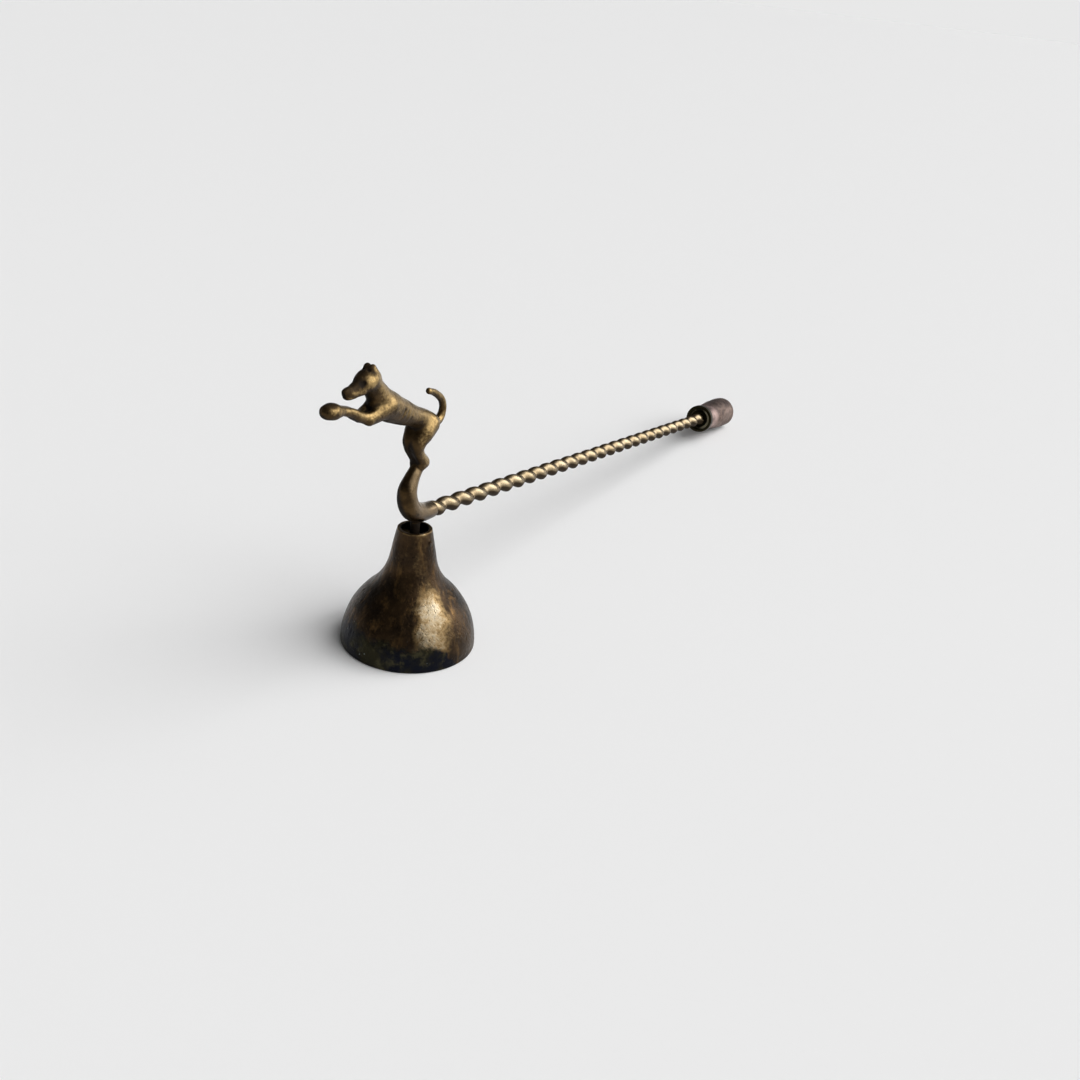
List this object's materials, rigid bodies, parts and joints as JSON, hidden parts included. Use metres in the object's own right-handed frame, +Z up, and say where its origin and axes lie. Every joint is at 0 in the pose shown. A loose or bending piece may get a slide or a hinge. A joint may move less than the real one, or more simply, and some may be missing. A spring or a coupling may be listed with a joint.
{
  "type": "candle snuffer",
  "caption": "Long-handled candle snuffer with a bell that swings in its neck from a cast leaping dog on a scroll, a twisted stem and a flared end knob.",
  "frame": {"origin": "centre of the bell's mouth, on the table that the rim stands on", "axes": "+Z up along the bell, +X along the handle towards its knob, Y along the hinge pin"},
  "size_m": [0.2386, 0.0316, 0.072],
  "materials": {
    "bell_bronze": "dark brown patina, rubbed bright on the swell, sooty at the rim",
    "hinge_brass": "dull",
    "figure_bronze": "cast, dark in the hollows, golden on the raised parts",
    "stem_brass": "polished crests, dark grooves",
    "collar_brass": "blackened",
    "knob_copper": "dull copper"
  },
  "bodies": {
    "bell": {"bell": "bell_bronze", "hinge_pin": "hinge_brass", "spacer_left": "hinge_brass", "spacer_right": "hinge_brass"},
    "handle": {"figure_scroll": "figure_bronze", "twisted_stem": "stem_brass", "end_collar": "collar_brass", "end_knob": "knob_copper"}
  },
  "joints": [
    {"name": "bell_hinge", "type": "hinge", "parent": "bell", "child": "handle", "pos_m": [0, 0, 0.0264], "axis": [0, -1, 0], "range_deg": [0, 25]}
  ]
}
